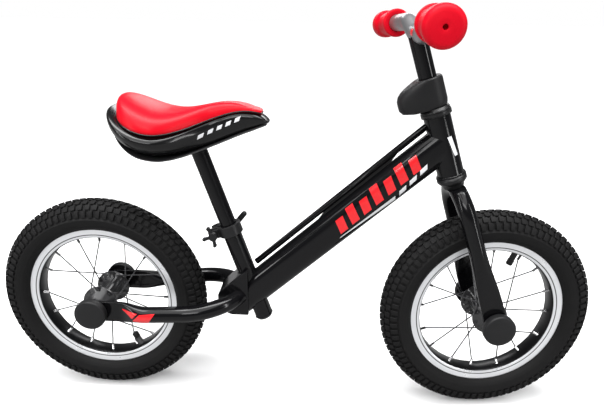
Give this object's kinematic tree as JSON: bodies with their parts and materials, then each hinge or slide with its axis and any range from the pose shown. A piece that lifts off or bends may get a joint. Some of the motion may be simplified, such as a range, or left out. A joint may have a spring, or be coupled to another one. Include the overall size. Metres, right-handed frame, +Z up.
{
  "type": "balance bike",
  "caption": "Child's balance bike with a sloping oval main tube, air-tyred spoked wheels, straight fork, clamped stem, rising handlebar and padded saddle on a quick-release post.",
  "frame": {"origin": "on the ground, in the frame's middle plane, midway between the wheel centres", "axes": "+X forward, +Y to the rider's left, +Z up"},
  "size_m": [0.8423, 0.394, 0.5513],
  "materials": {
    "frame_paint": "gloss",
    "bar_paint": "satin",
    "steel": "satin",
    "nipple_plate": "polished",
    "black_hardware": "satin",
    "spoke_black": "satin",
    "rim_silver": "satin",
    "plastic": "satin",
    "saddle_shell": "gloss",
    "saddle_black": "gloss",
    "saddle_red": "gloss",
    "grip_red": "matte",
    "tyre_black": "matte",
    "tube_rubber": "matte"
  },
  "bodies": {
    "frame": {"main_tube": "frame_paint", "top_tube": "frame_paint", "web_plate": "frame_paint", "head_tube": "frame_paint", "seat_tube": "frame_paint", "yoke": "frame_paint", "left_chainstay": "frame_paint", "right_chainstay": "frame_paint", "seat_tube_plug": "plastic", "lower_headset_cup": "black_hardware", "upper_headset_cup": "black_hardware", "lower_headset_bearing": "steel", "upper_headset_bearing": "steel", "seat_collar": "black_hardware", "collar_skewer": "steel", "collar_wing_nut": "plastic", "rear_axle": "steel", "rear_locknuts": "black_hardware", "rear_washers": "steel", "rear_axle_nuts": "steel", "rear_axle_caps": "plastic"},
    "quick_release_lever": {"collar_lever": "plastic"},
    "seat": {"seat_post": "frame_paint", "saddle_base": "saddle_shell", "saddle_body": "saddle_black", "saddle_pad": "saddle_red"},
    "rear_wheel": {"rear_hub": "black_hardware", "rear_hub_bearings": "steel", "rear_spokes": "spoke_black", "rear_nipples": "nipple_plate", "rear_rim": "rim_silver", "rear_inner_tube": "tube_rubber", "rear_tyre": "tyre_black", "rear_valve_cap": "plastic"},
    "fork": {"steerer": "frame_paint", "left_fork_blade": "frame_paint", "right_fork_blade": "frame_paint", "crown_race": "black_hardware", "headset_locknut": "black_hardware", "stem_clamp": "black_hardware", "stem_clamp_bolt": "steel", "stem_clamp_cover": "plastic", "front_axle": "steel", "front_locknuts": "black_hardware", "front_washers": "steel", "front_axle_nuts": "steel", "front_axle_caps": "plastic"},
    "handlebar": {"stem": "frame_paint", "handlebar": "bar_paint", "left_grip": "grip_red", "right_grip": "grip_red"},
    "front_wheel": {"front_hub": "black_hardware", "front_hub_bearings": "steel", "front_spokes": "spoke_black", "front_nipples": "nipple_plate", "front_rim": "rim_silver", "front_inner_tube": "tube_rubber", "front_tyre": "tyre_black", "front_valve_cap": "plastic"}
  },
  "joints": [
    {"name": "steering", "type": "hinge", "parent": "frame", "child": "fork", "pos_m": [0.273, 0, 0.1485], "axis": [-0.3223, 0, 0.9466], "range_deg": [-96, 84]},
    {"name": "rear_spin", "type": "hinge", "parent": "frame", "child": "rear_wheel", "pos_m": [-0.273, 0, 0.1485], "axis": [0, 1, 0], "continuous": true},
    {"name": "front_spin", "type": "hinge", "parent": "fork", "child": "front_wheel", "pos_m": [0.273, 0, 0.1485], "axis": [-0.099, 0.9945, -0.0337], "continuous": true},
    {"name": "seat_height", "type": "slide", "parent": "frame", "child": "seat", "axis": [-0.3256, 0, 0.9455], "range_m": [-0.045, 0.04]},
    {"name": "bar_height", "type": "slide", "parent": "fork", "child": "handlebar", "axis": [-0.3223, 0, 0.9466], "range_m": [-0.018, 0.04]},
    {"name": "lever_swing", "type": "hinge", "parent": "frame", "child": "quick_release_lever", "pos_m": [-0.10833, 0.0165, 0.25089], "axis": [-0.3256, 0, 0.9455], "range_deg": [0, 160]}
  ]
}
